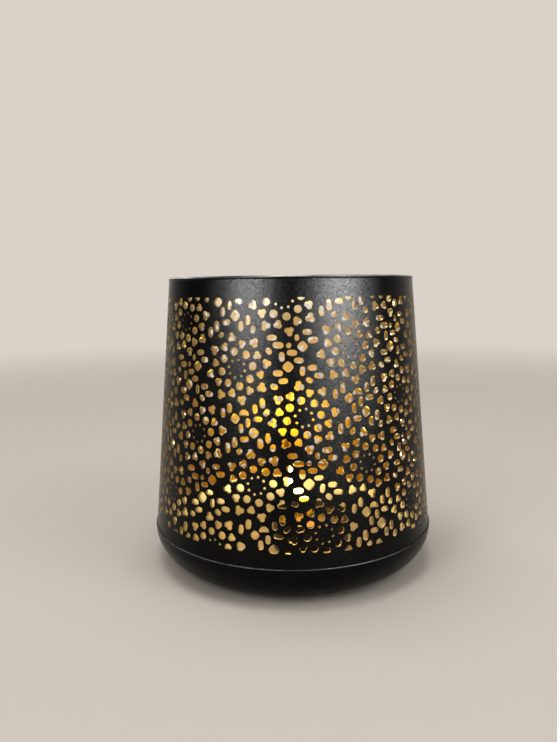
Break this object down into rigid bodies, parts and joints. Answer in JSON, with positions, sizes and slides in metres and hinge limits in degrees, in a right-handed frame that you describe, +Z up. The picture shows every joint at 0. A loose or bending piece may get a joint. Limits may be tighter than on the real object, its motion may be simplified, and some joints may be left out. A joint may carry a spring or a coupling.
{
  "type": "tea light holder",
  "caption": "Tapered pierced sheet-metal shade, open at the top, on a shallow round dish, with a loose tea light standing inside.",
  "frame": {"origin": "middle of the flat under the dish, on the surface that the holder stands on", "axes": "+Z up along the shade's axis, -Y to the front, +X to the right as seen from the front"},
  "size_m": [0.133, 0.133, 0.1327],
  "materials": {
    "dish_metal": "satin black outside, bright brass colour inside",
    "shade_metal": "satin black outside, brass colour inside and on the cut edges",
    "cup_metal": "dark, satin",
    "wax": "translucent paraffin wax",
    "tab_metal": "bare sheet",
    "wick": "charred cotton"
  },
  "bodies": {
    "holder": {"dish": "dish_metal", "shade": "shade_metal"},
    "tealight": {"candle_cup": "cup_metal", "wax": "wax", "wick_tab": "tab_metal", "wick": "wick"}
  },
  "joints": [
    {"name": "tealight_lift", "type": "slide", "parent": "holder", "child": "tealight", "axis": [0, 0, 1], "range_m": [0, 0.15]}
  ]
}
